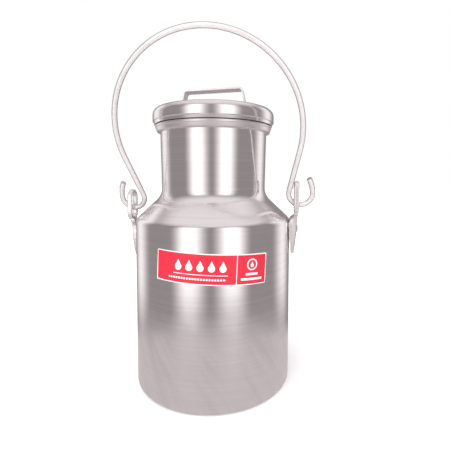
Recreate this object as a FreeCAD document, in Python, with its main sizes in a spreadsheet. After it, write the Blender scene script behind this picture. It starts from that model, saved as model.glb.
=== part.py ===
import FreeCAD, Part
import Sketcher
import math
import os

# A three litre aluminium milk can with a loose lid and a swinging wire bail.
# Millimetres. Z is up, the origin is the centre of the base, the ears stand on the X axis.

os.makedirs("parts", exist_ok=True)

V = FreeCAD.Vector

SIZES = [
    # can shell, outside sizes
    ("body_rad", 75.0), ("wall", 1.5), ("dish_up", 2.5), ("dish_rad", 62.0), ("foot_rad", 67.0),
    ("base_round", 4.0), ("shoulder_z", 155.8), ("shoulder_round", 6.0), ("neck_z", 178.9),
    ("neck_low_rad", 50.3), ("neck_round", 16.6), ("neck_top_rad", 51.5), ("mouth_z", 244.6),
    ("flare_end_z", 234.0), ("shoulder_in_z", 155.2), ("neck_in_z", 178.3), ("small_round", 2.5),
    ("foot_round", 5.0), ("fold_ease", 0.3),
    # ring round the mouth
    ("ring_bore_rad", 51.53), ("ring_low_z", 237.6), ("ring_out_rad", 56.4), ("ring_bead_z", 242.4),
    ("ring_nose_z", 238.3), ("ring_nose_rad", 54.7), ("ring_round", 1.0), ("ring_lip_round", 1.0),
    ("ring_belt_rad", 55.9), ("ring_belt_z", 242.0), ("bead_round", 0.3), ("belt_round", 0.2),
    # lid shell
    ("lid_rad", 58.7), ("lid_sheet", 1.2), ("lid_low_z", 245.0), ("lip_rad", 57.9), ("lip_top_z", 247.6),
    ("lip_low_rad", 57.1), ("bulge_low_z", 248.0), ("lid_top_z", 264.2), ("dome_knee_rad", 26.6),
    ("lid_edge_z", 259.7),
    ("dome_round", 375.0), ("lid_round", 6.5), ("bulge_round", 0.5), ("lip_round", 0.35),
    ("lip_in_up", 0.4), ("bulge_in_up", 0.6), ("edge_in_drop", 1.1),
    # lid plug
    ("plug_rad", 48.9), ("plug_low_z", 224.0), ("plug_round", 5.0), ("plug_flange_rad", 56.4),
    ("plug_top_round", 2.0),
    # lid handle
    ("strap_wide", 14.0), ("strap_thick", 1.6), ("grip_half", 28.0), ("grip_left_z", 279.3),
    ("grip_right_z", 281.3), ("leg_foot_half", 31.4), ("foot_end_half", 44.0), ("strap_round", 3.2),
    ("lid_rivet_half", 38.0), ("foot_lift", 0.1), ("strap_corner_round", 4.0),
    # rivets
    ("rivet_rad", 2.0), ("rivet_head_rad", 3.8), ("rivet_head_tall", 1.7), ("washer_rad", 5.0),
    ("washer_thick", 1.0), ("tail_tall", 1.2), ("lid_tail_rad", 3.0), ("ear_tail_rad", 3.6),
    ("fit_gap", 0.03), ("loose_gap", 0.18), ("touch_gap", 0.01), ("lid_hole_shift", 0.25),
    # bail
    ("rod_rad", 2.5), ("eye_half", 83.3), ("hook_rad", 11.4), ("crown_rad", 86.1), ("crown_mid", 76.1),
    ("crown_x", -0.8), ("hook_left_x", -82.0), ("hook_left_mid", 9.0), ("hook_right_x", 85.2),
    ("hook_right_mid", 13.7), ("tip_rad", 34.0), ("tip_turn", 28.0), ("axis_z", 167.1),
    ("axis_tilt", 1.6), ("bail_lean", 22.0),
    # ears, heights measured from the bail axis
    ("eye_ring_rad", 8.4), ("eye_bar_half", 1.6), ("eye_bar_deep", 2.4), ("eye_bar_round", 1.2),
    ("eye_low", -1.2), ("eye_high", 13.4), ("leaf_edge_round", 0.9),
    ("neck_half", 4.5), ("neck_end", -7.8), ("neck_foot", -10.2), ("neck_foot_round", 3.0),
    ("leaf_half", 16.5), ("leaf_shoulder", -15.0), ("leaf_corner_round", 7.0),
    ("leaf_mid_half", 15.0), ("leaf_waist", -31.0), ("leaf_waist_round", 22.0),
    ("leaf_tip_half", 2.8), ("leaf_tip", -48.3), ("leaf_tip_round", 1.0),
    # ear in side view: outer and inner faces of the S-shaped strip, from its own turning axis
    ("ear_axis", 52.0), ("neck_out_low", -9.6), ("neck_out_round", 5.0),
    ("leaf_out", 30.4), ("leaf_out_high", -15.0), ("leaf_out_round", 7.0), ("leaf_out_mid", 30.0),
    ("tip_out", 27.2), ("neck_in_low", -8.0), ("neck_in_round", 4.0),
    ("leaf_in", 27.3), ("leaf_in_high", -13.0), ("leaf_in_round", 6.0), ("leaf_in_mid", 27.0),
    ("tip_in", 24.2), ("leaf_bend", -28.0), ("leaf_bend_round", 40.0), ("past_tip", 3.0),
    # the two ears were set and bent by hand: height over the bail axis, eye and neck outwards
    ("ear_up_right", 0.8), ("eye_out_right", 81.5), ("neck_out_right", 31.6), ("neck_in_right", 28.0),
    ("ear_up_left", -3.4), ("eye_out_left", 84.8), ("neck_out_left", 34.0), ("neck_in_left", 30.4),
    # stock that the ear is cut from
    ("ear_stock_x", 92.0), ("ear_stock_wide", 60.0), ("ear_stock_high", 30.0), ("far_side_x", 62.0),
    ("ear_back_gap", 0.8), ("ear_rivet_low", -24.0), ("boss_rad", 5.5), ("boss_deep", 2.0),
    ("boss_fit_half", 12.0), ("ear_rivet_rad", 2.4), ("ear_head_rad", 4.0), ("ear_head_tall", 1.9),
    ("ear_seat", 81.2), ("head_gap", 0.4), ("spot_deep", 6.0),
    # label
    ("label_wide", 90.4), ("label_tall", 25.5), ("label_z", 121.8), ("label_turn", 9.3),
    ("label_tilt", -2.7), ("label_thick", 0.15), ("label_round", 1.0), ("label_stock", 80.0),
    ("label_band_low", 90.0), ("label_band_high", 150.0), ("label_band_out", 120.0),
]

doc = FreeCAD.newDocument("milk_can")
sheet = doc.addObject("Spreadsheet::Sheet", "Sheet")
D = {}
for row, (name, size) in enumerate(SIZES, start=1):
    sheet.set("A%d" % row, name)
    sheet.set("B%d" % row, repr(size))
    sheet.setAlias("B%d" % row, name)
    D[name] = size
doc.recompute()


def terms(spec):
    """Split a size such as 'body_rad-wall' into signed names and numbers."""
    parts = spec.replace("-", "+-").split("+")
    return [p for p in parts if p]


def number(spec):
    """Value of a size given as a number or as a sum of sheet names."""
    if not isinstance(spec, str):
        return float(spec)
    total = 0.0
    for term in terms(spec):
        sign = -1.0 if term.startswith("-") else 1.0
        word = term.lstrip("-")
        total += sign * (D[word] if word in D else float(word))
    return total


def formula(spec):
    """Sheet expression for the same size, or None for a bare number."""
    if not isinstance(spec, str):
        return None
    text = ""
    for term in terms(spec):
        sign = "-" if term.startswith("-") else "+"
        word = term.lstrip("-")
        text += sign + ("Sheet." + word if word in D else word)
    return text.lstrip("+")


def new_body(label):
    body = doc.addObject("PartDesign::Body", label)
    body.Label = label
    return body


def plane_of(body, role):
    for item in body.Origin.OriginFeatures:
        if item.Role == role:
            return item
    raise RuntimeError("no " + role)


def new_sketch(body, role, shift=(0, 0, 0)):
    sketch = body.newObject("Sketcher::SketchObject", body.Label + "_sketch")
    sketch.AttachmentSupport = [(plane_of(body, role), "")]
    sketch.MapMode = "FlatFace"
    sketch.AttachmentOffset = FreeCAD.Placement(V(*shift), FreeCAD.Rotation())
    return sketch


def datum(sketch, spec, *args):
    """Add a dimension and bind it to the sheet."""
    index = sketch.addConstraint(Sketcher.Constraint(*args))
    text = formula(spec)
    if text:
        sketch.setExpression("Constraints[%d]" % index, text)
    return index


def outline(sketch, corners):
    """Closed outline through (x, y, round) corners, each fixed by its own two dimensions."""
    points = [V(number(c[0]), number(c[1]), 0) for c in corners]
    rounds = [number(c[2]) for c in corners]
    count = len(points)
    starts = []
    ends = []
    arcs = []
    for i in range(count):
        before = (points[i - 1] - points[i]).normalize()
        after = (points[(i + 1) % count] - points[i]).normalize()
        if rounds[i] <= 0:
            starts.append(points[i])
            ends.append(points[i])
            arcs.append(None)
            continue
        half = before.getAngle(after) / 2.0
        reach = rounds[i] / math.tan(half)
        tan_in = points[i] + before * reach
        tan_out = points[i] + after * reach
        middle = points[i] + (before + after).normalize() * (rounds[i] / math.sin(half))
        left_turn = before.cross(after).z < 0
        first, last = (tan_in, tan_out) if left_turn else (tan_out, tan_in)
        from_angle = math.atan2(first.y - middle.y, first.x - middle.x)
        to_angle = math.atan2(last.y - middle.y, last.x - middle.x)
        if to_angle < from_angle:
            to_angle += 2 * math.pi
        starts.append(tan_in)
        ends.append(tan_out)
        ring_of = Part.Circle(middle, V(0, 0, 1), rounds[i])
        arcs.append((Part.ArcOfCircle(ring_of, from_angle, to_angle), left_turn))
    lines = []
    for i in range(count):
        lines.append(sketch.addGeometry(Part.LineSegment(ends[i], starts[(i + 1) % count])))
    for i in range(count):
        line_in = lines[i - 1]
        line_out = lines[i]
        if arcs[i] is None:
            sketch.addConstraint(Sketcher.Constraint("Coincident", line_in, 2, line_out, 1))
            point_ref = (line_out, 1)
        else:
            arc = sketch.addGeometry(arcs[i][0])
            first, last = (1, 2) if arcs[i][1] else (2, 1)
            sketch.addConstraint(Sketcher.Constraint("Tangent", line_in, 2, arc, first))
            sketch.addConstraint(Sketcher.Constraint("Tangent", arc, last, line_out, 1))
            datum(sketch, corners[i][2], "Radius", arc, rounds[i])
            mark = sketch.addGeometry(Part.Point(points[i]), True)
            sketch.addConstraint(Sketcher.Constraint("PointOnObject", mark, 1, line_in))
            sketch.addConstraint(Sketcher.Constraint("PointOnObject", mark, 1, line_out))
            point_ref = (mark, 1)
        datum(sketch, corners[i][0], "DistanceX", -1, 1, point_ref[0], point_ref[1], points[i].x)
        datum(sketch, corners[i][1], "DistanceY", -1, 1, point_ref[0], point_ref[1], points[i].y)
    return sketch


def circle(sketch, x, y, radius):
    index = sketch.addGeometry(Part.Circle(V(number(x), number(y), 0), V(0, 0, 1), number(radius)))
    datum(sketch, radius, "Radius", index, number(radius))
    datum(sketch, x, "DistanceX", -1, 1, index, 3, number(x))
    datum(sketch, y, "DistanceY", -1, 1, index, 3, number(y))
    return sketch


def slot(sketch, low, high, radius):
    """Upright slot outline: two half circles joined by straight sides."""
    r = number(radius)
    lo = number(low)
    hi = number(high)
    top = sketch.addGeometry(Part.ArcOfCircle(Part.Circle(V(0, hi, 0), V(0, 0, 1), r), 0, math.pi))
    left = sketch.addGeometry(Part.LineSegment(V(-r, hi, 0), V(-r, lo, 0)))
    base = sketch.addGeometry(Part.ArcOfCircle(Part.Circle(V(0, lo, 0), V(0, 0, 1), r), math.pi, 2 * math.pi))
    right = sketch.addGeometry(Part.LineSegment(V(r, lo, 0), V(r, hi, 0)))
    sketch.addConstraint(Sketcher.Constraint("Tangent", top, 2, left, 1))
    sketch.addConstraint(Sketcher.Constraint("Tangent", left, 2, base, 1))
    sketch.addConstraint(Sketcher.Constraint("Tangent", base, 2, right, 1))
    sketch.addConstraint(Sketcher.Constraint("Tangent", right, 2, top, 1))
    sketch.addConstraint(Sketcher.Constraint("PointOnObject", top, 3, -2))
    sketch.addConstraint(Sketcher.Constraint("PointOnObject", base, 3, -2))
    datum(sketch, radius, "Radius", top, r)
    datum(sketch, high, "DistanceY", -1, 1, top, 3, hi)
    datum(sketch, low, "DistanceY", -1, 1, base, 3, lo)
    return sketch


def turn(body, sketch, kind="Revolution"):
    """Full revolution or groove about the sketch's own upright axis."""
    feature = body.newObject("PartDesign::" + kind, body.Label + "_turn")
    feature.Profile = sketch
    feature.ReferenceAxis = (sketch, ["V_Axis"])
    feature.Angle = 360.0
    doc.recompute()
    return feature


def push(body, sketch, kind, length, midplane=False, reverse=False):
    feature = body.newObject("PartDesign::" + kind, body.Label + "_push")
    feature.Profile = sketch
    feature.Length = number(length)
    text = formula(length)
    if text:
        feature.setExpression("Length", text)
    feature.Midplane = midplane
    feature.Reversed = reverse
    doc.recompute()
    return feature


def bore_through(body, sketch, length, reverse=True):
    """Pocket that has to remove metal, or the hole points the wrong way."""
    before = body.Shape.Volume
    push(body, sketch, "Pocket", length, reverse=reverse)
    if body.Shape.Volume > before - 1.0:
        raise RuntimeError("a hole missed " + body.Label)


# ---------------------------------------------------------------- can shell
# One spun sheet: dished base on a foot ring, straight wall, sloped shoulder, open neck.
can = new_body("can_body")
outline(new_sketch(can, "XZ_Plane"), [
    (0, "dish_up", 0),
    ("dish_rad", "dish_up", "foot_round"),
    ("foot_rad", 0, "small_round"),
    ("body_rad", 0, "base_round"),
    ("body_rad", "shoulder_z", "shoulder_round"),
    ("neck_low_rad", "neck_z", "neck_round"),
    ("neck_top_rad", "flare_end_z", 0),
    ("neck_top_rad", "mouth_z", 0),
    ("neck_top_rad-wall", "mouth_z", 0),
    ("neck_top_rad-wall", "flare_end_z", 0),
    ("neck_low_rad-wall", "neck_in_z", "neck_round+wall"),
    ("body_rad-wall", "shoulder_in_z", "shoulder_round-wall"),
    ("body_rad-wall", "wall", "base_round-wall"),
    ("foot_rad+fold_ease", "wall", "small_round+wall"),
    ("dish_rad+fold_ease", "dish_up+wall", "foot_round-wall"),
    (0, "dish_up+wall", 0),
])
turn(can, can.Group[-1])
# holes for the two ear rivets, each at its own ear's height
half_lift = D["eye_half"] * math.tan(math.radians(D["axis_tilt"]))
EAR_Z = {
    "left": D["axis_z"] - half_lift + D["ear_up_left"],
    "right": D["axis_z"] + half_lift + D["ear_up_right"],
}
for side, reverse in (("right", False), ("left", True)):
    hole_sketch = new_sketch(can, "YZ_Plane")
    circle(hole_sketch, 0, EAR_Z[side] + D["ear_rivet_low"], "ear_rivet_rad+fit_gap")
    bore_through(can, hole_sketch, "body_rad+wall", reverse=not reverse)

# ---------------------------------------------------------------- mouth ring
ring = new_body("mouth_ring")
outline(new_sketch(ring, "XZ_Plane"), [
    ("ring_bore_rad", "ring_low_z", 0),
    ("ring_nose_rad", "ring_nose_z", "ring_round"),
    ("ring_belt_rad", "ring_belt_z", "belt_round"),
    ("ring_out_rad", "ring_bead_z", "bead_round"),
    ("ring_out_rad", "mouth_z", "ring_lip_round"),
    ("ring_bore_rad", "mouth_z", 0),
])
turn(ring, ring.Group[-1])

# ---------------------------------------------------------------- lid
lid = new_body("lid_shell")
outline(new_sketch(lid, "XZ_Plane"), [
    (0, "lid_top_z", 0),
    ("dome_knee_rad", "lid_top_z", "dome_round"),
    ("lid_rad", "lid_edge_z", "lid_round"),
    ("lid_rad", "bulge_low_z", "bulge_round"),
    ("lip_rad", "lip_top_z", "lip_round"),
    ("lip_low_rad", "lid_low_z", 0),
    ("plug_flange_rad+fit_gap", "lid_low_z", 0),
    ("plug_flange_rad+fit_gap", "lip_top_z+lip_in_up", "lip_round"),
    ("lid_rad-lid_sheet", "bulge_low_z+bulge_in_up", "bulge_round"),
    ("lid_rad-lid_sheet", "lid_edge_z-edge_in_drop", "lid_round-lid_sheet"),
    ("dome_knee_rad", "lid_top_z-lid_sheet", "dome_round-lid_sheet"),
    (0, "lid_top_z-lid_sheet", 0),
])
turn(lid, lid.Group[-1])
for side in (-1, 1):
    hole_sketch = new_sketch(lid, "XY_Plane")
    circle(hole_sketch, side * (D["lid_rivet_half"] - D["lid_hole_shift"]), 0, "rivet_rad+loose_gap")
    bore_through(lid, hole_sketch, "lid_top_z+wall")

plug = new_body("lid_plug")
outline(new_sketch(plug, "XZ_Plane"), [
    (0, "plug_low_z", 0),
    ("plug_rad", "plug_low_z", "plug_round"),
    ("plug_rad", "lid_low_z", 0),
    ("plug_flange_rad", "lid_low_z", 0),
    ("plug_flange_rad", "lid_low_z+lid_sheet", 0),
    ("plug_rad-lid_sheet", "lid_low_z+lid_sheet", "plug_top_round"),
    ("plug_rad-lid_sheet", "plug_low_z+lid_sheet", "plug_round-lid_sheet"),
    (0, "plug_low_z+lid_sheet", 0),
])
turn(plug, plug.Group[-1])


def dome_z(x):
    """Height of the lid's crown at a distance from its centre."""
    r = D["dome_round"]
    return D["lid_top_z"] - r + math.sqrt(r * r - x * x)


# Strap handle: one bent strip, its feet lying on the crown.
foot_in_z = dome_z(D["leg_foot_half"]) + D["strap_thick"] / 2 + D["foot_lift"]
foot_out_z = dome_z(D["foot_end_half"]) + D["strap_thick"] / 2 + D["foot_lift"]
strap_line = [
    V(-D["foot_end_half"], foot_out_z, 0),
    V(-D["leg_foot_half"], foot_in_z, 0),
    V(-D["grip_half"], D["grip_left_z"], 0),
    V(D["grip_half"], D["grip_right_z"], 0),
    V(D["leg_foot_half"], foot_in_z, 0),
    V(D["foot_end_half"], foot_out_z, 0),
]


def beside(line, gap):
    """The same open line moved sideways by a gap, corners mitred."""
    moved = []
    last = len(line) - 1
    for i, point in enumerate(line):
        ahead = (line[min(i + 1, last)] - line[max(i, 0)]) if i < last else (line[i] - line[i - 1])
        behind = (line[i] - line[i - 1]) if i > 0 else ahead
        n_ahead = V(-ahead.y, ahead.x, 0).normalize()
        n_behind = V(-behind.y, behind.x, 0).normalize()
        mitre = (n_ahead + n_behind).normalize()
        moved.append(point + mitre * (gap / mitre.dot(n_ahead)))
    return moved


half_strap = D["strap_thick"] / 2
# the strap's line turns left at the feet and right at the grip
tight = D["strap_round"] - half_strap
wide = D["strap_round"] + half_strap
left_rounds = [0, tight, wide, wide, tight, 0]
right_rounds = [0, wide, tight, tight, wide, 0]
corners = [(p.x, p.y, r) for p, r in zip(beside(strap_line, half_strap), left_rounds)]
under = [(p.x, p.y, r) for p, r in zip(beside(strap_line, -half_strap), right_rounds)]
handle = new_body("lid_handle")
outline(new_sketch(handle, "XZ_Plane"), corners + under[::-1])
push(handle, handle.Group[-1], "Pad", "strap_wide", midplane=True)
for side in (-1, 1):
    hole_sketch = new_sketch(handle, "XY_Plane")
    circle(hole_sketch, side * D["lid_rivet_half"], 0, "rivet_rad+loose_gap")
    bore_through(handle, hole_sketch, "lid_top_z+wall")
# rounded foot corners
foot_edges = []
for number_of, edge in enumerate(handle.Shape.Edges, start=1):
    box = edge.BoundBox
    if abs(box.XLength) < 0.2 and box.YLength < 0.01 and abs(edge.CenterOfMass.x) > D["foot_end_half"] - 0.6:
        foot_edges.append("Edge%d" % number_of)
soft = handle.newObject("PartDesign::Fillet", "foot_fillet")
soft.Base = (handle.Group[-2], foot_edges)
soft.Radius = D["strap_corner_round"]
soft.setExpression("Radius", "Sheet.strap_corner_round")
doc.recompute()


# shares of a rivet head's radius and height, and of its tail's radius
HEAD_TOP_SHARE, HEAD_ROUND_SHARE, HEAD_RIM_SHARE, TAIL_END_SHARE = 0.72, 0.45, 0.25, 0.7


def stud(label, head_rad, head_tall, shank_rad, length, tail_rad):
    """Set rivet on its own Z axis: the outer head sits on z = 0, the shank runs down."""
    body = new_body(label)
    tall = number(head_tall)
    tail_z = -length - D["tail_tall"]
    outline(new_sketch(body, "XZ_Plane"), [
        (0, head_tall, 0),
        (number(head_rad) * HEAD_TOP_SHARE, head_tall, tall * HEAD_ROUND_SHARE),
        (head_rad, tall * HEAD_RIM_SHARE, 0),
        (head_rad, 0, 0),
        (shank_rad, 0, 0),
        (shank_rad, -length, 0),
        (tail_rad, -length, 0),
        (number(tail_rad) * TAIL_END_SHARE, tail_z, 0),
        (0, tail_z, 0),
    ])
    turn(body, body.Group[-1])
    return body


def washer(label, bore, size, thick):
    body = new_body(label)
    sketch = new_sketch(body, "XY_Plane")
    circle(sketch, 0, 0, size)
    circle(sketch, 0, 0, bore)
    push(body, sketch, "Pad", thick)
    return body


# Lid rivets: head on the strap's foot, washer and tail inside the lid.
foot_slope = math.degrees(math.atan2(foot_in_z - foot_out_z, D["foot_end_half"] - D["leg_foot_half"]))
along = (D["lid_rivet_half"] - D["leg_foot_half"]) / (D["foot_end_half"] - D["leg_foot_half"])
foot_mid_z = foot_in_z + (foot_out_z - foot_in_z) * along
for side, sign in (("left", -1), ("right", 1)):
    tilt = FreeCAD.Rotation(V(0, 1, 0), sign * foot_slope)
    normal = tilt.multVec(V(0, 0, 1))
    seat = V(sign * D["lid_rivet_half"], 0, foot_mid_z) + normal * (half_strap + D["touch_gap"])
    # strap and lid sheet, with the lift of the foot above and below the curved crown
    stack = D["strap_thick"] + D["lid_sheet"] + 2 * (D["foot_lift"] + D["touch_gap"])
    grip = stack + D["washer_thick"] + 2 * D["touch_gap"]
    rivet = stud("lid_rivet_" + side, "rivet_head_rad", "rivet_head_tall", "rivet_rad", grip,
                 "lid_tail_rad")
    rivet.Placement = FreeCAD.Placement(seat, tilt)
    burr = washer("lid_washer_" + side, "rivet_rad+fit_gap", "washer_rad", "washer_thick")
    burr.Placement = FreeCAD.Placement(seat - normal * (stack + D["washer_thick"]), tilt)


# ---------------------------------------------------------------- ears
LEAF_EASE = 1.0      # how near an edge's middle may come to where the leaf starts and ends


def strip_middle(side, z):
    """How far the middle of the ear's strip is from the ear's turning axis at a height."""
    heights = [D["leaf_tip"] - D["past_tip"], D["leaf_bend"], D["leaf_out_high"], D["neck_out_low"]]
    pairs = [("tip_out", "tip_in"), ("leaf_out_mid", "leaf_in_mid"), ("leaf_out", "leaf_in"),
             ("neck_out_" + side, "neck_in_" + side)]
    middles = [(D[outer] + D[inner]) / 2 for outer, inner in pairs]
    for low, high, first, last in zip(heights, heights[1:], middles, middles[1:]):
        if z < high:
            return first + (last - first) * (z - low) / (high - low)
    return middles[-1]


def soften(body, side, size):
    """Round the long edges between the leaf's turned outer face and its sides."""
    shape = body.Shape
    names = []
    for index, edge in enumerate(shape.Edges, start=1):
        middle = edge.CenterOfMass
        outside = math.hypot(middle.x - D["ear_axis"], middle.y) > strip_middle(side, middle.z)
        beside_middle = abs(middle.y) > LEAF_EASE
        on_leaf = D["leaf_tip"] + LEAF_EASE < middle.z < D["neck_foot"]
        if outside and beside_middle and on_leaf and edge.Length > LEAF_EASE * 1.5:
            names.append("Edge%d" % index)
    fillet = body.newObject("PartDesign::Fillet", body.Label + "_soft")
    fillet.Base = (body.Group[-2], names)
    fillet.Radius = D[size]
    fillet.setExpression("Radius", "Sheet." + size)
    doc.recompute()


def ear(side):
    """Cast ear in the XZ frame of the right side, heights from its own eye."""
    body = new_body("ear_" + side)
    eye_out, neck_out, neck_in = "eye_out_" + side, "neck_out_" + side, "neck_in_" + side
    # front view of the neck and the leaf, extruded along X
    right_half = [
        ("neck_half", "neck_end", 0),
        ("neck_half", "neck_foot", "neck_foot_round"),
        ("leaf_half", "leaf_shoulder", "leaf_corner_round"),
        ("leaf_mid_half", "leaf_waist", "leaf_waist_round"),
        ("leaf_tip_half", "leaf_tip", "leaf_tip_round"),
    ]
    left_half = [("-" + y, z, r) for y, z, r in reversed(right_half)]
    outline(new_sketch(body, "YZ_Plane"), right_half + left_half)
    push(body, body.Group[-1], "Pad", "ear_stock_x")
    # side view: everything outside the S-shaped strip is turned away about an upright axis
    outline(new_sketch(body, "XZ_Plane", (D["ear_axis"], 0, 0)), [
        (neck_out, "ear_stock_high", 0),
        (neck_out, "neck_out_low", "neck_out_round"),
        ("leaf_out", "leaf_out_high", "leaf_out_round"),
        ("leaf_out_mid", "leaf_bend", "leaf_bend_round"),
        ("tip_out", "leaf_tip-past_tip", 0),
        ("ear_stock_wide", "leaf_tip-past_tip", 0),
        ("ear_stock_wide", "ear_stock_high", 0),
    ])
    turn(body, body.Group[-1], "Groove")
    outline(new_sketch(body, "XZ_Plane", (D["ear_axis"], 0, 0)), [
        (0, "ear_stock_high", 0),
        (neck_in, "ear_stock_high", 0),
        (neck_in, "neck_in_low", "neck_in_round"),
        ("leaf_in", "leaf_in_high", "leaf_in_round"),
        ("leaf_in_mid", "leaf_bend", "leaf_bend_round"),
        ("tip_in", "leaf_tip-past_tip", 0),
        (0, "leaf_tip-past_tip", 0),
    ])
    turn(body, body.Group[-1], "Groove")
    # what is left on the far side of the turning axis
    far = new_sketch(body, "YZ_Plane")
    outline(far, [
        ("-ear_stock_wide", "leaf_tip-past_tip", 0),
        ("ear_stock_wide", "leaf_tip-past_tip", 0),
        ("ear_stock_wide", "ear_stock_high+past_tip", 0),
        ("-ear_stock_wide", "ear_stock_high+past_tip", 0),
    ])
    push(body, far, "Pocket", "far_side_x", reverse=True)
    # the back follows the can with a small gap
    back = new_sketch(body, "XZ_Plane")
    outline(back, [
        (0, "leaf_tip-past_tip", 0),
        ("body_rad+ear_back_gap", "leaf_tip-past_tip", 0),
        ("body_rad+ear_back_gap", "ear_stock_high", 0),
        (0, "ear_stock_high", 0),
    ])
    turn(body, back, "Groove")
    # rounded edge round the leaf's outer face
    soften(body, side, "leaf_edge_round")
    # eye: a flat bar with rounded edges, bent to an upright oval
    loop = new_sketch(body, "YZ_Plane", (0, 0, D[eye_out]))
    slot(loop, "eye_low", "eye_high", "eye_ring_rad-eye_bar_half")
    bar = new_sketch(body, "XZ_Plane")
    outline(bar, [
        (eye_out + "-eye_bar_deep", "eye_high+eye_ring_rad-eye_bar_half-eye_bar_half", "eye_bar_round"),
        (eye_out + "+eye_bar_deep", "eye_high+eye_ring_rad-eye_bar_half-eye_bar_half", "eye_bar_round"),
        (eye_out + "+eye_bar_deep", "eye_high+eye_ring_rad", "eye_bar_round"),
        (eye_out + "-eye_bar_deep", "eye_high+eye_ring_rad", "eye_bar_round"),
    ])
    ring_pipe = body.newObject("PartDesign::AdditivePipe", body.Label + "_eye")
    ring_pipe.Profile = bar
    ring_pipe.Spine = (loop, [])
    doc.recompute()
    # rivet boss, flat on top and fitted to the can
    boss = new_sketch(body, "YZ_Plane", (0, 0, D["body_rad"] - D["boss_deep"]))
    circle(boss, 0, "ear_rivet_low", "boss_rad")
    push(body, boss, "Pad", "ear_seat-body_rad+boss_deep")
    fit = new_sketch(body, "XZ_Plane")
    outline(fit, [
        (0, "ear_rivet_low-boss_fit_half", 0),
        ("body_rad+fit_gap", "ear_rivet_low-boss_fit_half", 0),
        ("body_rad+fit_gap", "ear_rivet_low+boss_fit_half", 0),
        (0, "ear_rivet_low+boss_fit_half", 0),
    ])
    turn(body, fit, "Groove")
    spot = new_sketch(body, "YZ_Plane", (0, 0, D["ear_seat"]))
    circle(spot, 0, "ear_rivet_low", "ear_head_rad+head_gap")
    push(body, spot, "Pocket", "spot_deep", reverse=True)
    bore = new_sketch(body, "YZ_Plane")
    circle(bore, 0, "ear_rivet_low", "ear_rivet_rad+fit_gap")
    push(body, bore, "Pocket", "ear_stock_x", reverse=True)
    return body


for side, angle in (("right", 0.0), ("left", 180.0)):
    piece = ear(side)
    spin = FreeCAD.Rotation(V(0, 0, 1), angle)
    piece.Placement = FreeCAD.Placement(V(0, 0, EAR_Z[side]), spin)
    # the flat washer touches the can's round inside along its two edges
    touch = 2 * D["touch_gap"]
    burr_out = math.sqrt((D["body_rad"] - D["wall"]) ** 2 - D["washer_rad"] ** 2) - touch
    head_x = D["ear_seat"] + D["touch_gap"]
    grip = head_x - (burr_out - D["washer_thick"] - touch)
    rivet = stud("ear_rivet_" + side, "ear_head_rad", "ear_head_tall", "ear_rivet_rad", grip,
                 "ear_tail_rad")
    aim = spin.multiply(FreeCAD.Rotation(V(0, 1, 0), 90))
    rivet_z = EAR_Z[side] + D["ear_rivet_low"]
    rivet.Placement = FreeCAD.Placement(spin.multVec(V(head_x, 0, rivet_z)), aim)
    burr = washer("ear_washer_" + side, "ear_rivet_rad+fit_gap", "washer_rad", "washer_thick")
    burr.Placement = FreeCAD.Placement(spin.multVec(V(burr_out - D["washer_thick"], 0, rivet_z)), aim)

# ---------------------------------------------------------------- bail
# One hand-bent rod. The crown is a large arc, each leg runs in to a hook that passes out through
# an eye. The left leg is longer, because its ear sits lower.
bail = new_body("bail")
section = new_sketch(bail, "YZ_Plane", (0, 0, D["crown_x"]))
circle(section, 0, "crown_mid+crown_rad", "rod_rad")
crown = V(D["crown_x"], D["crown_mid"], 0)
HOOKS = {
    "right": (1, D["hook_right_x"], D["hook_right_mid"]),
    "left": (-1, D["hook_left_x"], D["hook_left_mid"]),
}


def arc_between(middle, radius, first, last):
    """Arc through two angles, drawn the short way and counter-clockwise."""
    low = min(first, last)
    high = max(first, last)
    return Part.ArcOfCircle(Part.Circle(middle, V(0, 0, 1), radius), low, high)


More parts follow.
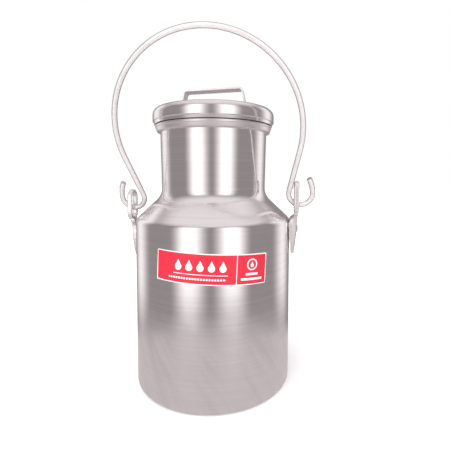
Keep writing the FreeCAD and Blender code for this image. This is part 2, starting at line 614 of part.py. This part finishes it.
rod_run = 0.0
for side, (sign, hook_x, hook_y) in HOOKS.items():
    hook = V(hook_x, hook_y, 0)
    # work on the right-hand side and mirror the angles for the left
    span = V((hook.x - crown.x) * sign, hook.y - crown.y, 0)
    fold = math.asin((D["crown_rad"] + D["hook_rad"]) / span.Length)
    side_angle = math.atan2(span.y, span.x) - fold + math.pi / 2

    def at(middle, radius, angle):
        return middle + V(sign * math.cos(angle), math.sin(angle), 0) * radius

    def mirrored(angle):
        return angle if sign > 0 else math.pi - angle

    tip_mid = hook + V(sign * (D["hook_rad"] - D["tip_rad"]), 0, 0)
    tip_angle = math.radians(D["tip_turn"])
    path = new_sketch(bail, "XZ_Plane")
    big = arc_between(crown, D["crown_rad"], mirrored(side_angle), mirrored(math.pi / 2))
    small = arc_between(hook, D["hook_rad"], mirrored(side_angle + math.pi), mirrored(2 * math.pi))
    tip = arc_between(tip_mid, D["tip_rad"], mirrored(0), mirrored(tip_angle))
    leg_top = at(crown, D["crown_rad"], side_angle)
    leg_low = at(hook, D["hook_rad"], side_angle + math.pi)
    arc_a = path.addGeometry(big)
    leg = path.addGeometry(Part.LineSegment(leg_top, leg_low))
    arc_b = path.addGeometry(small)
    arc_c = path.addGeometry(tip)
    first, last = (1, 2) if sign > 0 else (2, 1)
    path.addConstraint(Sketcher.Constraint("Tangent", arc_a, first, leg, 1))
    path.addConstraint(Sketcher.Constraint("Tangent", leg, 2, arc_b, first))
    path.addConstraint(Sketcher.Constraint("Tangent", arc_b, last, arc_c, first))
    datum(path, "crown_rad", "Radius", arc_a, D["crown_rad"])
    datum(path, "crown_x", "DistanceX", -1, 1, arc_a, 3, D["crown_x"])
    datum(path, "crown_mid", "DistanceY", -1, 1, arc_a, 3, D["crown_mid"])
    datum(path, "hook_rad", "Radius", arc_b, D["hook_rad"])
    datum(path, "hook_%s_x" % side, "DistanceX", -1, 1, arc_b, 3, hook.x)
    datum(path, "hook_%s_mid" % side, "DistanceY", -1, 1, arc_b, 3, hook.y)
    datum(path, "tip_rad", "Radius", arc_c, D["tip_rad"])
    doc.recompute()
    pipe = bail.newObject("PartDesign::AdditivePipe", "bail_" + side)
    pipe.Profile = section
    pipe.Spine = (path, [])
    doc.recompute()
    rod_run += sum(edge.Length for edge in path.Shape.Edges)
bail_axis = math.radians(D["axis_tilt"])
lean = FreeCAD.Rotation(V(math.cos(bail_axis), 0, math.sin(bail_axis)), D["bail_lean"])
bail.Placement = FreeCAD.Placement(V(0, 0, D["axis_z"]), lean)
print("rod length", round(rod_run, 1), "volume ratio",
      round(bail.Shape.Volume / (rod_run * math.pi * D["rod_rad"] ** 2), 4))

# ---------------------------------------------------------------- label
label = new_body("label")
flat = new_sketch(label, "XZ_Plane")
lw = D["label_wide"] / 2
lt = D["label_tall"] / 2
slant = math.radians(D["label_tilt"])
label_corners = []
for sx, sz in ((-1, -1), (1, -1), (1, 1), (-1, 1)):
    cx = sx * lw * math.cos(slant) - sz * lt * math.sin(slant)
    cz = sx * lw * math.sin(slant) + sz * lt * math.cos(slant)
    label_corners.append((cx, D["label_z"] + cz, "label_round"))
outline(flat, label_corners)
push(label, flat, "Pad", "label_stock")
core = new_sketch(label, "XZ_Plane")
outline(core, [
    (0, "label_band_low", 0),
    ("body_rad+fit_gap", "label_band_low", 0),
    ("body_rad+fit_gap", "label_band_high", 0),
    (0, "label_band_high", 0),
])
turn(label, core, "Groove")
outer = new_sketch(label, "XZ_Plane")
outline(outer, [
    ("body_rad+fit_gap+label_thick", "label_band_low", 0),
    ("label_band_out", "label_band_low", 0),
    ("label_band_out", "label_band_high", 0),
    ("body_rad+fit_gap+label_thick", "label_band_high", 0),
])
turn(label, outer, "Groove")
label.Placement = FreeCAD.Placement(V(0, 0, 0), FreeCAD.Rotation(V(0, 0, 1), D["label_turn"]))

# ---------------------------------------------------------------- check and write
doc.recompute()
for item in doc.Objects:
    if "Invalid" in item.State or "Error" in item.State:
        raise RuntimeError("failed: " + item.Label)
for item in doc.Objects:
    if item.TypeId != "PartDesign::Body":
        continue
    shape = item.Shape
    if shape.isNull() or not shape.isValid() or not shape.Solids:
        raise RuntimeError("bad shape: " + item.Label)
    box = shape.BoundBox
    print("%-18s solids %d volume %9.1f  x %.1f..%.1f y %.1f..%.1f z %.1f..%.1f" % (
        item.Label, len(shape.Solids), shape.Volume,
        box.XMin, box.XMax, box.YMin, box.YMax, box.ZMin, box.ZMax))
    shape.exportStep("parts/" + item.Label + ".step")
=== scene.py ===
import math

import bpy
from mathutils import Matrix, Vector

MM = 0.001
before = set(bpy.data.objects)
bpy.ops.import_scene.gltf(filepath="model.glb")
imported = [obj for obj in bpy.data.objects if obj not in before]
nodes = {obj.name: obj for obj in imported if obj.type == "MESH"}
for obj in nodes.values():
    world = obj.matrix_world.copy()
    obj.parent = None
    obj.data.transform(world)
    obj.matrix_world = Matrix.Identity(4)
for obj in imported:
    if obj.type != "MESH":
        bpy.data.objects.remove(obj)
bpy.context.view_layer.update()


# ---------------------------------------------------------------- node graph helpers

class Graph:
    """A short way to write shader nodes: every method makes one node and returns its output socket."""

    def __init__(self, owner):
        owner.use_nodes = True
        self.tree = owner.node_tree
        self.tree.nodes.clear()

    def node(self, kind, **settings):
        made = self.tree.nodes.new(kind)
        for key, value in settings.items():
            setattr(made, key, value)
        return made

    def feed(self, socket, value):
        if isinstance(value, bpy.types.NodeSocket):
            self.tree.links.new(value, socket)
        elif isinstance(value, (tuple, list)) and len(value) == 3 and len(socket.default_value) == 4:
            socket.default_value = (*value, 1.0)
        else:
            socket.default_value = value

    def math(self, operation, a, b=None, c=None, clamp=False):
        made = self.node("ShaderNodeMath", operation=operation, use_clamp=clamp)
        for socket, value in zip(made.inputs, (a, b, c)):
            if value is not None:
                self.feed(socket, value)
        return made.outputs[0]

    def add(self, a, b):
        return self.math("ADD", a, b)

    def sub(self, a, b):
        return self.math("SUBTRACT", a, b)

    def mul(self, a, b):
        return self.math("MULTIPLY", a, b)

    def high(self, a, b):
        return self.math("MAXIMUM", a, b)

    def low(self, a, b):
        return self.math("MINIMUM", a, b)

    def fit(self, value, low, high, to_low=0.0, to_high=1.0, smooth=True):
        """value taken from low..high to to_low..to_high, held at the ends."""
        kind = "SMOOTHSTEP" if smooth else "LINEAR"
        made = self.node("ShaderNodeMapRange", interpolation_type=kind, clamp=True)
        for name, number in (("From Min", low), ("From Max", high), ("To Min", to_low), ("To Max", to_high)):
            made.inputs[name].default_value = number
        self.feed(made.inputs["Value"], value)
        return made.outputs["Result"]

    def band(self, value, low, high, soft):
        """1 between low and high, fading to 0 over soft at both ends."""
        rising = self.fit(value, low - soft, low + soft)
        falling = self.fit(value, high - soft, high + soft, 1.0, 0.0)
        return self.mul(rising, falling)

    def mix(self, factor, a, b):
        made = self.node("ShaderNodeMix", data_type="RGBA")
        self.feed(made.inputs[0], factor)
        self.feed(made.inputs[6], a)
        self.feed(made.inputs[7], b)
        return made.outputs[2]

    def blend(self, factor, a, b):
        made = self.node("ShaderNodeMix", data_type="FLOAT")
        self.feed(made.inputs[0], factor)
        self.feed(made.inputs[2], a)
        self.feed(made.inputs[3], b)
        return made.outputs[0]

    def split(self, vector):
        made = self.node("ShaderNodeSeparateXYZ")
        self.feed(made.inputs[0], vector)
        return made.outputs

    def join(self, x, y, z):
        made = self.node("ShaderNodeCombineXYZ")
        for socket, value in zip(made.inputs, (x, y, z)):
            self.feed(socket, value)
        return made.outputs[0]

    def scaled(self, vector, x, y, z):
        made = self.node("ShaderNodeVectorMath", operation="MULTIPLY")
        self.feed(made.inputs[0], vector)
        self.feed(made.inputs[1], (x, y, z))
        return made.outputs[0]

    def noise(self, vector, scale, detail=3.0, rough=0.5, distort=0.0):
        made = self.node("ShaderNodeTexNoise", noise_dimensions="3D")
        self.feed(made.inputs["Vector"], vector)
        made.inputs["Scale"].default_value = scale
        made.inputs["Detail"].default_value = detail
        made.inputs["Roughness"].default_value = rough
        made.inputs["Distortion"].default_value = distort
        return made.outputs["Fac"]

    def bump(self, height, distance, strength=1.0, base=None):
        made = self.node("ShaderNodeBump")
        made.inputs["Strength"].default_value = strength
        made.inputs["Distance"].default_value = distance
        self.feed(made.inputs["Height"], height)
        if base is not None:
            self.feed(made.inputs["Normal"], base)
        return made.outputs[0]


# ---------------------------------------------------------------- camera

TURN = math.radians(6.0)        # the can's right ear is turned towards the camera
PITCH, ROLL = 0.062, 0.004      # radians the camera looks down and leans
CAMERA_ASIDE, CAMERA_AWAY, CAMERA_UP = 0.030113, 0.34816, 0.194753
SENSOR_MM, LENS_MM = 36.0, 27.88552
SHIFT_X, SHIFT_Y = -0.0425822, -0.0557022


def from_camera_side(v):
    """A direction or place given with y straight away from the camera, in the row frame."""
    c, s = math.cos(TURN), math.sin(TURN)
    return Vector((c * v[0] - s * v[1], s * v[0] + c * v[1], v[2]))


camera = bpy.data.cameras.new("camera")
camera.sensor_width, camera.lens = SENSOR_MM, LENS_MM
camera.shift_x, camera.shift_y = SHIFT_X, SHIFT_Y
camera.clip_start, camera.clip_end = 0.01, 50.0
eye = bpy.data.objects.new("camera", camera)
bpy.context.scene.collection.objects.link(eye)
ahead = Vector((0, math.cos(PITCH), -math.sin(PITCH)))
level_up = Vector((0, math.sin(PITCH), math.cos(PITCH)))
level_right = Vector((1, 0, 0))
right = level_right * math.cos(ROLL) + level_up * math.sin(ROLL)
up = level_up * math.cos(ROLL) - level_right * math.sin(ROLL)
axes = [from_camera_side(v) for v in (right, up, -ahead)]
placed = Matrix([[axes[c][r] for c in range(3)] for r in range(3)]).to_4x4()
placed.translation = from_camera_side((CAMERA_ASIDE, -CAMERA_AWAY, CAMERA_UP))
eye.matrix_world = placed
bpy.context.scene.camera = eye

scene = bpy.context.scene
scene.view_settings.view_transform = "Standard"
scene.view_settings.look = "None"


# ---------------------------------------------------------------- light

# A plain studio: even walls, a pale table below, a pale ceiling above, and soft panels in pairs either side
# of the camera. Each panel is azimuth and half width in degrees from the camera's side, then its level.
WALL, TABLE, CEILING = 0.30, 0.60, 0.85
PANELS = [(-30, 16, 1.40), (30, 16, 1.40), (-125, 15, 1.00), (125, 15, 1.00)]
PANEL_SOFT = 14
PANEL_LOW, PANEL_HIGH = -0.35, 0.60         # sines of the panels' lower and upper edges seen from the can
TABLE_EDGE = -0.40                          # sine of the table's far edge
ROOM_TINT, PANEL_TINT = (1.0, 0.92, 0.93), (1.0, 0.98, 0.99)
BACKDROP = (1.0, 1.0, 1.0)
FLOOR_HALF, FLOOR_DROP = 6.0, 0.0002        # metres
SUNS = [("overhead", 2.2, 70, 14, -8), ("front", 0.9, 60, 68, 0)]


def light_the_room():
    world = bpy.data.worlds.new("studio")
    scene.world = world
    g = Graph(world)
    x, y, z = g.split(g.node("ShaderNodeTexCoord").outputs["Generated"])
    azimuth = g.math("ARCTAN2", x, g.mul(y, -1.0))
    turned = g.add(g.mul(azimuth, 1 / (2 * math.pi)), 1.5 - TURN / (2 * math.pi))
    degrees = g.sub(g.mul(g.math("FRACT", turned), 360.0), 180.0)
    level = WALL
    height = g.band(z, PANEL_LOW, PANEL_HIGH, 0.10)
    for place, half, bright in PANELS:
        across = g.band(degrees, place - half, place + half, PANEL_SOFT)
        level = g.add(level, g.mul(g.mul(across, height), bright - WALL))
    level = g.blend(g.fit(z, 0.50, 0.90), level, CEILING)
    level = g.blend(g.fit(z, TABLE_EDGE + 0.02, TABLE_EDGE - 0.02), level, TABLE)
    tint = g.mix(g.fit(level, 0.60, 1.10), ROOM_TINT, PANEL_TINT)
    lit = g.node("ShaderNodeVectorMath", operation="SCALE")
    g.feed(lit.inputs[0], tint)
    g.feed(lit.inputs["Scale"], level)
    seen = g.node("ShaderNodeLightPath").outputs["Is Camera Ray"]
    shown = g.node("ShaderNodeBackground")
    g.feed(shown.inputs["Color"], g.mix(seen, lit.outputs[0], BACKDROP))
    out = g.node("ShaderNodeOutputWorld")
    g.tree.links.new(shown.outputs[0], out.inputs["Surface"])


def soft_sun(name, energy, spread, lean, aside):
    """A wide light that only dull surfaces catch; lean and aside tip it, in degrees, from overhead."""
    light = bpy.data.lights.new(name, "SUN")
    light.energy, light.angle = energy, math.radians(spread)
    made = bpy.data.objects.new(name, light)
    scene.collection.objects.link(made)
    made.rotation_euler = (math.radians(lean), math.radians(aside), 0)
    made.visible_glossy = False


def floor():
    half = FLOOR_HALF
    corners = [(-half, -half, 0), (half, -half, 0), (half, half, 0), (-half, half, 0)]
    mesh = bpy.data.meshes.new("floor")
    mesh.from_pydata(corners, [], [(0, 1, 2, 3)])
    made = bpy.data.objects.new("floor", mesh)
    scene.collection.objects.link(made)
    made.location.z = -FLOOR_DROP
    made.visible_glossy = False
    made.visible_shadow = False
    paper = bpy.data.materials.new("floor_paper")
    g = Graph(paper)
    place = g.node("ShaderNodeTexCoord").outputs["Object"]
    mottle = g.noise(place, 3.0, 2.0)
    shader = g.node("ShaderNodeBsdfPrincipled")
    g.feed(shader.inputs["Base Color"], g.mix(mottle, (0.93, 0.925, 0.925), (0.96, 0.955, 0.955)))
    shader.inputs["Roughness"].default_value = 0.9
    shader.inputs["Specular IOR Level"].default_value = 0.0
    g.tree.links.new(shader.outputs[0], g.node("ShaderNodeOutputMaterial").inputs["Surface"])
    mesh.materials.append(paper)


light_the_room()
for sun in SUNS:
    soft_sun(*sun)
floor()


# ---------------------------------------------------------------- metal

BODY_RADIUS = 0.075     # metres


def metal_shader(g, colour, roughness, normal, anisotropic=0.0, along_spin=False, bare=1.0):
    """bare: how much of the skin mirrors like clean metal, the rest is a pale dull oxide."""
    shader = g.node("ShaderNodeBsdfPrincipled")
    shader.inputs["Metallic"].default_value = bare
    g.feed(shader.inputs["Base Color"], colour)
    g.feed(shader.inputs["Roughness"], roughness)
    g.feed(shader.inputs["Normal"], normal)
    if along_spin:
        tangent = g.node("ShaderNodeTangent", direction_type="RADIAL", axis="Z")
        g.tree.links.new(tangent.outputs[0], shader.inputs["Tangent"])
        shader.inputs["Anisotropic"].default_value = anisotropic
        shader.inputs["Anisotropic Rotation"].default_value = 0.25
    g.tree.links.new(shader.outputs[0], g.node("ShaderNodeOutputMaterial").inputs["Surface"])
    return shader


def spun(name, bright, swirl_below=None, shine=0.11, wobble=1.0, anisotropic=0.45):
    """Aluminium spun on a lathe: fine rings about Z, reflections blurred up and down, dull patches."""
    made = bpy.data.materials.new(name)
    g = Graph(made)
    place = g.node("ShaderNodeTexCoord").outputs["Object"]
    x, y, z = g.split(place)
    radius = g.math("SQRT", g.add(g.mul(x, x), g.mul(y, y)))
    section = g.join(radius, z, g.mul(g.add(x, y), 0.012))
    fine = g.noise(section, 1500.0, 2.0, 0.6)
    coarse = g.noise(section, 330.0, 2.0, 0.5)
    cloud = g.noise(g.scaled(place, 1.0, 1.0, 0.45), 55.0, 4.0, 0.6)
    dull = g.fit(cloud, 0.35, 0.75)
    scuff = g.fit(g.noise(g.scaled(place, 1.0, 1.0, 4.0), 420.0, 3.0, 0.7), 0.60, 0.74)
    roughness = g.add(shine, g.mul(dull, 0.05))
    roughness = g.add(roughness, g.mul(g.sub(coarse, 0.5), 0.04))
    roughness = g.add(roughness, g.mul(scuff, 0.05))
    tone = g.add(g.mul(fine, 0.5), g.mul(coarse, 0.5))
    darker = tuple(c * 0.95 for c in bright)
    colour = g.mix(g.fit(tone, 0.38, 0.62), darker, bright)
    if swirl_below is not None:
        # wiping marks that climb round the lower wall
        along = g.mul(g.math("ARCTAN2", x, g.mul(y, -1.0)), BODY_RADIUS)
        across_mark = g.add(along, g.mul(z, 0.62))
        along_mark = g.mul(g.sub(z, g.mul(along, 0.5)), 0.10)
        swirl = g.noise(g.join(across_mark, along_mark, 0.0), 95.0, 4.0, 0.6)
        low = g.fit(z, swirl_below - 0.03, swirl_below + 0.02, 1.0, 0.0)
        mark = g.mul(g.fit(swirl, 0.38, 0.66), low)
        roughness = g.add(roughness, g.mul(mark, 0.09))
        colour = g.mix(g.mul(mark, 0.6), colour, tuple(c * 0.90 for c in bright))
    lines = g.bump(fine, 0.00001, 0.30)
    steps = g.bump(coarse, 0.000015, 0.10, lines)
    wave = g.bump(g.noise(place, 24.0, 1.0, 0.4), 0.00035 * wobble, 0.4, steps)
    metal_shader(g, colour, roughness, wave, anisotropic, True)
    return made


def worked(name, bright, rough, pits, bare=0.85, painted_rim_shade=0.75):
    """Cast, forged or drawn aluminium: a dull skin with small pits and drawing marks, plus painted shade
    that darkens the colour where the surface turns away from the view.
    """
    made = bpy.data.materials.new(name)
    g = Graph(made)
    place = g.node("ShaderNodeTexCoord").outputs["Object"]
    grain = g.noise(place, 1500.0, 2.0, 0.5)
    drawn = g.noise(place, 600.0, 2.0, 0.5)
    patch = g.noise(place, 130.0, 4.0, 0.6)
    hollow = g.fit(g.noise(place, 1100.0, 2.0, 0.5), 0.62, 0.74)
    darker = tuple(c * 0.93 for c in bright)
    colour = g.mix(g.fit(patch, 0.35, 0.68), darker, bright)
    colour = g.mix(g.mul(hollow, pits), colour, tuple(c * 0.75 for c in bright))
    # painted shade: the colour darkens towards the edges seen at a grazing angle, standing in for the darker
    # reflections along the rims
    facing = g.node("ShaderNodeLayerWeight").outputs["Facing"]
    colour = g.mix(g.fit(facing, 0.18, 0.62), colour, tuple(c * painted_rim_shade for c in bright))
    roughness = g.add(rough, g.mul(g.sub(patch, 0.5), 0.08))
    roughness = g.add(roughness, g.mul(hollow, 0.02))
    skin = g.bump(grain, 0.000003, 0.10)
    skin = g.bump(drawn, 0.000008, 0.15, skin)
    skin = g.bump(g.mul(hollow, -1.0), 0.000008, pits * 0.3, skin)
    metal_shader(g, colour, roughness, skin, bare=bare)
    return made


# ---------------------------------------------------------------- label

LABEL_TURN = math.radians(9.3)
LABEL_TILT = math.radians(2.7)
LABEL_Z, LABEL_RADIUS = 121.8 * MM, 75.2 * MM
LABEL_HALF_WIDTH, LABEL_HALF_HEIGHT = 48.5, 12.75
LABEL_BORDER, DIVIDER_AT, DIVIDER_HALF = 0.8, 20.7, 0.32
DROP_PITCH, DROP_RADIUS, DROP_RISE = 9.2, 2.9, 0.9
RING_AT, RING_RISE, RING_RADIUS, RING_HALF = 34.2, 4.0, 4.3, 0.55
DASH_PITCH = 2.3
RED, PAPER_WHITE = (0.64, 0.011, 0.034), (0.86, 0.84, 0.85)


def label_film():
    """A red film label: white edge and divider, a row of plain milk drops, a ring and a few dashes."""
    made = bpy.data.materials.new("label_film")
    g = Graph(made)
    place = g.node("ShaderNodeTexCoord").outputs["Object"]
    x, y, z = g.split(place)
    turn = g.sub(g.math("ARCTAN2", x, g.mul(y, -1.0)), LABEL_TURN)
    along = g.mul(turn, LABEL_RADIUS / MM)
    rise = g.mul(g.sub(z, LABEL_Z), 1 / MM)
    c, s = math.cos(LABEL_TILT), math.sin(LABEL_TILT)
    u = g.sub(g.mul(along, c), g.mul(rise, s))
    v = g.add(g.mul(along, s), g.mul(rise, c))
    soft = 0.09

    def inside(distance):
        """1 where a distance in millimetres is below zero."""
        return g.fit(distance, -soft, soft, 1.0, 0.0)

    def rectangle(cu, cv, hu, hv):
        du = g.sub(g.math("ABSOLUTE", g.sub(u, cu)), hu)
        dv = g.sub(g.math("ABSOLUTE", g.sub(v, cv)), hv)
        return g.high(du, dv)

    def disc(pu, pv, radius):
        return g.sub(g.math("SQRT", g.add(g.mul(pu, pu), g.mul(pv, pv))), radius)

    def drop(pu, pv, radius):
        """A round drop with a pointed top."""
        taper = g.sub(g.math("ABSOLUTE", pu), g.mul(g.sub(radius * 2.1, pv), 0.5))
        cone = g.high(g.mul(taper, 0.9), g.sub(radius * 0.42, pv))
        return g.low(disc(pu, pv, radius), cone)

    field_half = (LABEL_HALF_WIDTH - LABEL_BORDER, LABEL_HALF_HEIGHT - LABEL_BORDER)
    edge = g.sub(1.0, inside(rectangle(0.0, 0.0, *field_half)))
    divider = inside(rectangle(DIVIDER_AT, 0.0, DIVIDER_HALF, LABEL_HALF_HEIGHT))
    slot = g.math("FRACT", g.add(g.mul(u, 1 / DROP_PITCH), 0.5))
    in_slot = g.sub(g.mul(slot, DROP_PITCH), DROP_PITCH / 2)
    drops = drop(in_slot, g.sub(v, DROP_RISE), DROP_RADIUS)
    row = inside(g.high(drops, rectangle(-DROP_PITCH, 2.0, 23.0, 8.0)))
    underline = inside(rectangle(-DROP_PITCH, -4.6, 22.6, 0.30))
    from_middle = g.math("ABSOLUTE", g.sub(g.math("FRACT", g.mul(u, 1 / DASH_PITCH)), 0.5))
    dash = g.mul(g.sub(from_middle, 0.36), DASH_PITCH)
    dashes = inside(g.high(dash, rectangle(-12.0, -8.2, 24.0, 0.75)))
    ru, rv = g.sub(u, RING_AT), g.sub(v, RING_RISE)
    ring = inside(g.sub(g.math("ABSOLUTE", disc(ru, rv, RING_RADIUS)), RING_HALF))
    seed = inside(drop(ru, g.add(rv, 0.7), 1.5))
    short_line = inside(rectangle(RING_AT, -3.9, 5.6, 0.95))
    long_line = inside(rectangle(RING_AT, -8.0, 9.8, 0.95))
    lines = g.high(short_line, long_line)
    white = edge
    for shape in (divider, row, underline, dashes, ring, seed, lines):
        white = g.high(white, shape)
    worn = g.noise(place, 900.0, 3.0, 0.6)
    print_wear = g.fit(worn, 0.68, 0.80)
    red = g.mix(g.noise(place, 60.0, 3.0), RED, tuple(min(1.0, k * 1.12 + 0.01) for k in RED))
    colour = g.mix(g.sub(white, g.mul(print_wear, 0.10)), red, PAPER_WHITE)
    shader = g.node("ShaderNodeBsdfPrincipled")
    g.feed(shader.inputs["Base Color"], colour)
    g.feed(shader.inputs["Roughness"], g.fit(worn, 0.3, 0.8, 0.30, 0.48))
    shader.inputs["IOR"].default_value = 1.48
    ripple = g.bump(g.noise(place, 70.0, 2.0), 0.0003, 0.25)
    grain = g.bump(worn, 0.00001, 0.5, ripple)
    ink = g.bump(white, 0.00002, 0.3, grain)
    g.feed(shader.inputs["Normal"], ink)
    g.tree.links.new(shader.outputs[0], g.node("ShaderNodeOutputMaterial").inputs["Surface"])
    return made


# ---------------------------------------------------------------- finishes on the CAD nodes

SPUN_TINT, RING_TINT = (0.91, 0.88, 0.88), (0.88, 0.84, 0.84)
STRAP_TINT, ROD_TINT, RIVET_TINT = (0.94, 0.89, 0.89), (0.97, 0.93, 0.93), (0.94, 0.90, 0.90)

body_metal = spun("spun_can", SPUN_TINT, swirl_below=0.062)
lid_metal = spun("spun_lid", SPUN_TINT, shine=0.14, wobble=0.6)
ring_metal = spun("mouth_ring_metal", RING_TINT, shine=0.36, wobble=0.4, anisotropic=0.4)
# the last worked() argument sets the painted edge shade: 1.0 paints none, the rod's 0.30 paints its edges
# much darker
strap_metal = worked("strap_metal", STRAP_TINT, 0.30, 0.1, bare=0.65, painted_rim_shade=1.0)
ear_metal = worked("ear_metal", STRAP_TINT, 0.27, 0.2, bare=0.75)
rod_metal = worked("rod_metal", ROD_TINT, 0.33, 0.06, bare=0.50, painted_rim_shade=0.30)
rivet_metal = worked("rivet_metal", RIVET_TINT, 0.25, 0.12, bare=0.8)
film = label_film()

FINISHES = {
    "can_body": body_metal, "mouth_ring": ring_metal, "lid_shell": lid_metal, "lid_plug": lid_metal,
    "lid_handle": strap_metal, "lid_rivet_left": rivet_metal, "lid_rivet_right": rivet_metal,
    "lid_washer_left": rivet_metal, "lid_washer_right": rivet_metal,
    "ear_left": ear_metal, "ear_right": ear_metal, "ear_rivet_left": rivet_metal,
    "ear_rivet_right": rivet_metal, "ear_washer_left": rivet_metal, "ear_washer_right": rivet_metal,
    "bail": rod_metal, "label": film,
}
for name, finish in FINISHES.items():
    mesh = nodes[name].data
    mesh.materials.clear()
    mesh.materials.append(finish)
